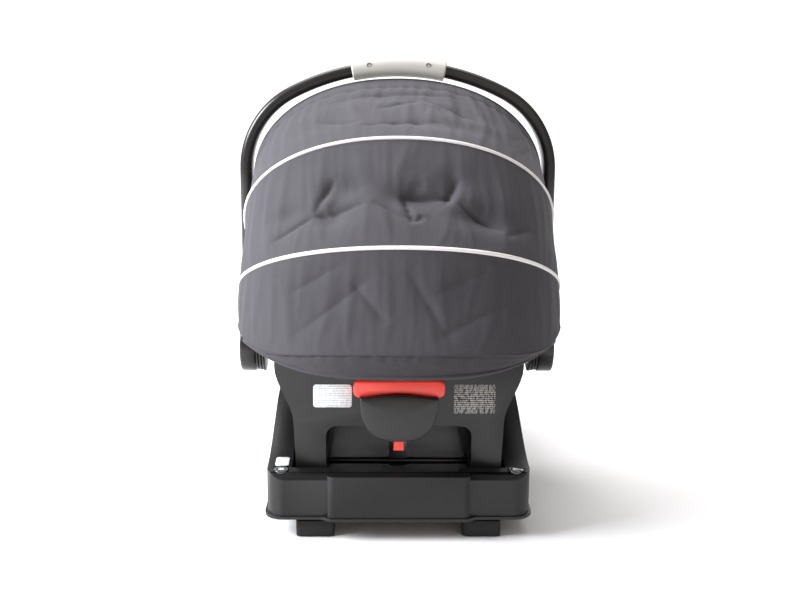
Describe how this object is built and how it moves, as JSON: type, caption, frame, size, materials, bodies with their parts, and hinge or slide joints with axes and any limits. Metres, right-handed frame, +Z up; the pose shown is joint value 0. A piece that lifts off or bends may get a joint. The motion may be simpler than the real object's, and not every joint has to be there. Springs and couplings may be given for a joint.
{
  "type": "infant car seat",
  "caption": "Rear-facing infant carrier with folding canopy, carry handle and harness, clicked into a stay-in-car base.",
  "frame": {"origin": "middle of the footprint, on the surface that the seat stands on", "axes": "+Z up, -Y towards the head end with the release handle, +X to the right when seen from the head end"},
  "size_m": [0.462, 0.6762, 0.613],
  "materials": {
    "base_plastic": "moulded black polypropylene with a fine grain",
    "shell_plastic": "moulded black polypropylene, satin",
    "handle_plastic": "smooth satin black polypropylene",
    "grip_plastic": "warm light grey soft-touch grip",
    "cover_plastic": "dark grey satin cover",
    "red_plastic": "bright red moulded plastic",
    "grey_plastic": "mid grey plastic button",
    "rubber": "black rubber",
    "steel": "zinc-plated steel",
    "canopy_fabric": "charcoal woven polyester",
    "pad_fabric": "charcoal knitted polyester over foam",
    "webbing": "black woven polyester webbing",
    "piping": "silver-white piping",
    "label": "white printed sticker with no wording",
    "print": "pale pad-printed panel with no wording",
    "gauge": "clear level window"
  },
  "bodies": {
    "base": {"base_shell": "base_plastic", "base_floor": "base_plastic", "rear_foot_left": "rubber", "rear_foot_right": "rubber", "latch_bar_rear": "steel", "latch_bar_front": "steel", "level_gauge_left": "gauge", "level_gauge_right": "gauge", "belt_hook_left": "base_plastic", "belt_hook_right": "base_plastic", "base_badge": "label"},
    "recline_foot": {"recline_foot": "base_plastic", "recline_pads": "rubber"},
    "recline_button": {"recline_button": "grey_plastic"},
    "carrier": {"carrier_shell": "shell_plastic", "rocker_frame": "shell_plastic", "release_cover": "cover_plastic", "care_label": "label", "warning_label": "print", "hub_collar_left": "shell_plastic", "hub_collar_right": "shell_plastic", "pivot_pins": "steel", "seat_pad": "pad_fabric", "head_support": "pad_fabric", "harness_left": "webbing", "harness_right": "webbing", "shoulder_pad_left": "pad_fabric", "shoulder_pad_right": "pad_fabric", "crotch_strap": "webbing", "buckle": "shell_plastic", "buckle_tongues": "steel", "adjuster_housing": "shell_plastic", "adjuster_strap": "webbing", "harness_yoke": "steel", "canopy_panel_low": "canopy_fabric", "canopy_hem": "canopy_fabric", "hook_lugs": "shell_plastic", "hook_pins": "steel"},
    "buckle_button": {"buckle_button": "red_plastic"},
    "chest_clip": {"chest_clip": "shell_plastic"},
    "adjuster_button": {"adjuster_button": "grey_plastic"},
    "release": {"release_handle": "red_plastic", "release_tab": "red_plastic"},
    "hook_rear": {"latch_hook_rear": "steel"},
    "hook_front": {"latch_hook_front": "steel"},
    "handle": {"handle_tube": "handle_plastic", "grip_front": "grip_plastic", "grip_back": "grip_plastic", "grip_screws": "steel", "hub_cap_left": "handle_plastic", "hub_cap_right": "handle_plastic"},
    "handle_button_left": {"handle_button_left": "grey_plastic"},
    "handle_button_right": {"handle_button_right": "grey_plastic"},
    "canopy_rear": {"canopy_bow_rear": "shell_plastic", "piping_lower": "piping"},
    "canopy_mid": {"canopy_bow_mid": "shell_plastic", "canopy_panel_mid": "canopy_fabric", "piping_upper": "piping"},
    "canopy_front": {"canopy_bow_front": "shell_plastic", "canopy_panel_top": "canopy_fabric"}
  },
  "joints": [
    {"name": "carrier_lift", "type": "slide", "parent": "base", "child": "carrier", "axis": [0, 0, 1], "range_m": [0, 0.2]},
    {"name": "recline_foot_slide", "type": "slide", "parent": "base", "child": "recline_foot", "axis": [0, 0, -1], "range_m": [0, 0.045]},
    {"name": "recline_button_press", "type": "slide", "parent": "base", "child": "recline_button", "axis": [0, -1, 0], "range_m": [0, 0.004], "stiffness_N_per_m": 600},
    {"name": "release_pull", "type": "slide", "parent": "carrier", "child": "release", "axis": [0, 0, 1], "range_m": [0, 0.012], "stiffness_N_per_m": 400},
    {"name": "hook_rear_turn", "type": "hinge", "parent": "carrier", "child": "hook_rear", "pos_m": [0, -0.11589, 0.134], "axis": [1, 0, 0], "range_deg": [0, 26]},
    {"name": "hook_front_turn", "type": "hinge", "parent": "carrier", "child": "hook_front", "pos_m": [0, 0.18411, 0.09907], "axis": [1, 0, 0], "range_deg": [0, 26]},
    {"name": "handle_turn", "type": "hinge", "parent": "carrier", "child": "handle", "pos_m": [0, 0.04611, 0.192], "axis": [1, 0, 0], "range_deg": [-60, 100]},
    {"name": "handle_button_left_press", "type": "slide", "parent": "handle", "child": "handle_button_left", "axis": [1, 0, 0], "range_m": [0, 0.003], "stiffness_N_per_m": 800},
    {"name": "handle_button_right_press", "type": "slide", "parent": "handle", "child": "handle_button_right", "axis": [-1, 0, 0], "range_m": [0, 0.003], "stiffness_N_per_m": 800},
    {"name": "canopy_rear_turn", "type": "hinge", "parent": "carrier", "child": "canopy_rear", "pos_m": [0, 0.04611, 0.192], "axis": [1, 0, 0], "range_deg": [0, 14]},
    {"name": "canopy_mid_turn", "type": "hinge", "parent": "canopy_rear", "child": "canopy_mid", "pos_m": [0, 0.04611, 0.192], "axis": [1, 0, 0], "range_deg": [0, 17]},
    {"name": "canopy_front_turn", "type": "hinge", "parent": "canopy_mid", "child": "canopy_front", "pos_m": [0, 0.04611, 0.192], "axis": [1, 0, 0], "range_deg": [0, 20]},
    {"name": "buckle_press", "type": "slide", "parent": "carrier", "child": "buckle_button", "axis": [0, 0.1408, -0.99], "range_m": [0, 0.003], "stiffness_N_per_m": 900},
    {"name": "chest_clip_slide", "type": "slide", "parent": "carrier", "child": "chest_clip", "axis": [0, 0.9497, -0.3131], "range_m": [-0.012, 0.025]},
    {"name": "adjuster_press", "type": "slide", "parent": "carrier", "child": "adjuster_button", "axis": [0, 0.5283, -0.8491], "range_m": [0, 0.003], "stiffness_N_per_m": 700}
  ],
  "couplings": [
    {"joint": "hook_rear_turn", "follows": "release_pull", "rad_per_m": 35},
    {"joint": "hook_front_turn", "follows": "release_pull", "rad_per_m": 35},
    {"joint": "canopy_mid_turn", "follows": "canopy_rear_turn", "ratio": 1.2138},
    {"joint": "canopy_front_turn", "follows": "canopy_rear_turn", "ratio": 1.4281}
  ]
}
